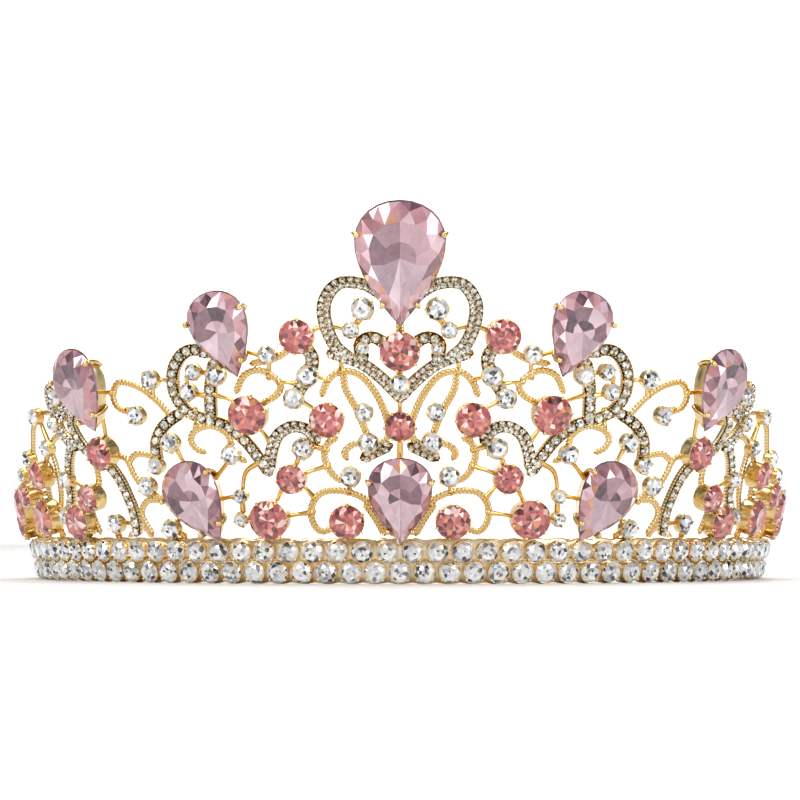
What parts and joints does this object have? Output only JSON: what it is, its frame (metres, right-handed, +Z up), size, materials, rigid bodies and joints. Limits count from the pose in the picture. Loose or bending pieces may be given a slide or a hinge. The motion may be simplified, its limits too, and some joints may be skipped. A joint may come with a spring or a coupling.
{
  "type": "tiara",
  "caption": "Open tiara: a flared band with two rows of clear stones, pierced scrollwork rising to a centre peak, pear-cut and round pink stones, and a hair loop on a wire at each end.",
  "frame": {"origin": "middle of the band's flat lower edge at the front, in the plane that the band rests on", "axes": "+Z up, +X to the right seen from the front, and the front faces -Y, so the open back and the hair loops lie towards +Y"},
  "size_m": [0.1684, 0.1416, 0.0749],
  "materials": {
    "band_gold": "polished pale gold plating",
    "openwork_gold": "polished gold plating with beaded edges",
    "pear_crystal": "pale lilac-pink cut glass with a mirror back",
    "coral_crystal": "coral-pink cut glass with a mirror back"
  },
  "bodies": {
    "root": {"band": "band_gold", "openwork": "openwork_gold", "pear_stone_centre": "pear_crystal", "pear_stone_lower_left": "pear_crystal", "pear_stone_lower_right": "pear_crystal", "pear_stone_outer_left": "pear_crystal", "pear_stone_outer_right": "pear_crystal", "pear_stone_top": "pear_crystal", "pear_stone_upper_left": "pear_crystal", "pear_stone_upper_right": "pear_crystal", "pink_stone_arch_left": "coral_crystal", "pink_stone_arch_right": "coral_crystal", "pink_stone_centre_lower": "coral_crystal", "pink_stone_centre_upper": "coral_crystal", "pink_stone_crest_left": "coral_crystal", "pink_stone_crest_right": "coral_crystal", "pink_stone_low_inner_left": "coral_crystal", "pink_stone_low_inner_right": "coral_crystal", "pink_stone_low_outer_left": "coral_crystal", "pink_stone_low_outer_right": "coral_crystal", "pink_stone_middle_left": "coral_crystal", "pink_stone_middle_right": "coral_crystal", "pink_stone_shoulder_left": "coral_crystal", "pink_stone_shoulder_right": "coral_crystal", "pink_stone_side_a_left": "coral_crystal", "pink_stone_side_a_right": "coral_crystal", "pink_stone_side_b_left": "coral_crystal", "pink_stone_side_b_right": "coral_crystal", "pink_stone_side_c_left": "coral_crystal", "pink_stone_side_c_right": "coral_crystal", "pink_stone_side_d_left": "coral_crystal", "pink_stone_side_d_right": "coral_crystal", "pink_stone_side_e_left": "coral_crystal", "pink_stone_side_e_right": "coral_crystal", "pink_stone_side_f_left": "coral_crystal", "pink_stone_side_f_right": "coral_crystal", "pink_stone_side_g_left": "coral_crystal", "pink_stone_side_g_right": "coral_crystal", "pink_stone_under_pear_left": "coral_crystal", "pink_stone_under_pear_right": "coral_crystal"}
  },
  "joints": []
}
